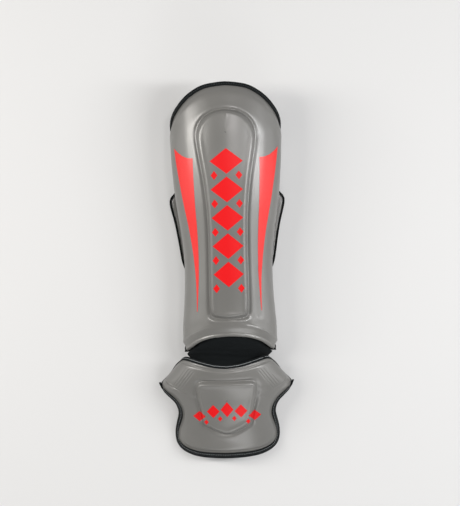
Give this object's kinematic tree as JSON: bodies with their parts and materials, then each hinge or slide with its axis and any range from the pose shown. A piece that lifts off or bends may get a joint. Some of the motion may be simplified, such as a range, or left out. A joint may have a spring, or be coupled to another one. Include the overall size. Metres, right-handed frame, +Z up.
{
  "type": "kickboxing shin guard",
  "caption": "Padded shin and instep guard with a raised centre ridge, bound edges, a stretch ankle gusset, calf flaps and elastic straps.",
  "frame": {"origin": "middle of the footprint, on the surface that the guard lies on", "axes": "+Y from the toe end to the knee end, +Z up through the crown of the shell, +X across"},
  "size_m": [0.1978, 0.5546, 0.1092],
  "materials": {
    "shell_leather": "semi-gloss smooth grey synthetic leather over moulded foam",
    "binding_tape": "black woven binding tape, folded and stitched",
    "stretch_cloth": "black stretch cloth",
    "elastic_webbing": "black ribbed elastic webbing",
    "red_film": "glossy red printed film"
  },
  "bodies": {
    "root": {"shin_pad": "shell_leather", "shin_binding": "binding_tape", "instep_pad": "shell_leather", "instep_binding": "binding_tape", "side_flash_left": "red_film", "side_flash_right": "red_film", "calf_wing_left": "shell_leather", "calf_wing_right": "shell_leather", "wing_binding_left": "binding_tape", "wing_binding_right": "binding_tape", "ankle_gusset": "stretch_cloth", "upper_elastic_strap": "elastic_webbing", "upper_loop_strap": "elastic_webbing", "lower_elastic_strap": "elastic_webbing", "lower_loop_strap": "elastic_webbing", "foot_strap": "elastic_webbing"}
  },
  "joints": []
}
